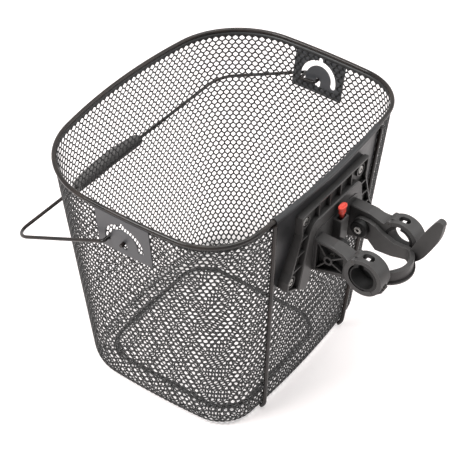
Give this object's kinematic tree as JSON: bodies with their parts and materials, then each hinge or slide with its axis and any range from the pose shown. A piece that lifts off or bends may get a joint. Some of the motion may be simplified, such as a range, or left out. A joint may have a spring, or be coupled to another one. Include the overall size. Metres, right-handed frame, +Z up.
{
  "type": "handlebar basket",
  "caption": "Tapered black wire-mesh bicycle basket with a folding bail handle and a quick-release bracket that clamps on a handlebar.",
  "frame": {"origin": "on the ground under the middle of the rim, at the middle of the basket's flat floor", "axes": "+Z up; +X along the handlebar, to the rider's right; +Y forward, away from the rider. The bracket is at -Y and the bail lies folded at +Y."},
  "size_m": [0.3636, 0.3911, 0.2824],
  "materials": {
    "mesh_paint": "satin black",
    "wire_paint": "satin black",
    "plate_paint": "satin black",
    "ear_paint": "satin black",
    "grip_plastic": "matt",
    "adapter_plastic": "moulded, satin",
    "bracket_plastic": "moulded, satin",
    "spacer_plastic": "moulded, matt",
    "button_red": "gloss",
    "dark_screw": "blackened",
    "bright_screw": "zinc plated"
  },
  "bodies": {
    "basket": {"wall_mesh": "mesh_paint", "floor_mesh": "mesh_paint", "floor_seam": "mesh_paint", "rim_wire": "wire_paint", "backing_plate": "plate_paint", "rear_rod_left": "wire_paint", "rear_rod_right": "wire_paint", "ear_plate_left": "ear_paint", "ear_plate_right": "ear_paint", "adapter_plate": "adapter_plastic", "adapter_screws": "dark_screw", "adapter_washers": "dark_screw", "adapter_nuts": "dark_screw"},
    "bail": {"bail_wire": "wire_paint", "bail_grip": "grip_plastic"},
    "bracket": {"bracket_body": "bracket_plastic", "button_spring": "bright_screw", "arm_screws": "bright_screw", "arm_left": "bracket_plastic", "arm_right": "bracket_plastic", "clamp_nut_left": "dark_screw", "clamp_nut_right": "dark_screw", "hinge_pin_left": "bright_screw", "hinge_pin_right": "bright_screw", "bar_spacer_left": "spacer_plastic", "bar_spacer_right": "spacer_plastic", "pivot_pad_left": "spacer_plastic", "pivot_pad_right": "spacer_plastic", "pivot_screw_left": "bright_screw", "pivot_screw_right": "bright_screw"},
    "button": {"release_button": "button_red"},
    "pawl": {"latch_pawl": "bracket_plastic"},
    "cap_left": {"clamp_cap_left": "bracket_plastic", "clamp_bolt_left": "dark_screw"},
    "cap_right": {"clamp_cap_right": "bracket_plastic", "clamp_bolt_right": "dark_screw"},
    "bow": {"stabiliser_bow": "bracket_plastic"}
  },
  "joints": [
    {"name": "bracket_release", "type": "slide", "parent": "basket", "child": "bracket", "axis": [0, 0, -1], "range_m": [0, 0.075]},
    {"name": "button_press", "type": "slide", "parent": "bracket", "child": "button", "axis": [0, 0, -1], "range_m": [0, 0.004], "stiffness_N_per_m": 400, "springref_m": -0.003, "deforming": ["button_spring"]},
    {"name": "pawl_draw", "type": "slide", "parent": "bracket", "child": "pawl", "axis": [0, -1, 0], "range_m": [0, 0.0024]},
    {"name": "bail_lift", "type": "hinge", "parent": "basket", "child": "bail", "pos_m": [0, -0.009, 0.244], "axis": [1, 0, 0], "range_deg": [0, 180]},
    {"name": "cap_left_open", "type": "hinge", "parent": "bracket", "child": "cap_left", "pos_m": [-0.035, -0.18662, 0.22442], "axis": [-1, 0, 0], "range_deg": [0, 80]},
    {"name": "cap_right_open", "type": "hinge", "parent": "bracket", "child": "cap_right", "pos_m": [0.035, -0.18662, 0.22442], "axis": [-1, 0, 0], "range_deg": [0, 80]},
    {"name": "bow_swing", "type": "hinge", "parent": "bracket", "child": "bow", "pos_m": [0, -0.1595, 0.211], "axis": [-1, 0, 0], "range_deg": [-35, 10]}
  ],
  "couplings": [
    {"joint": "pawl_draw", "follows": "button_press", "ratio": 0.6}
  ]
}
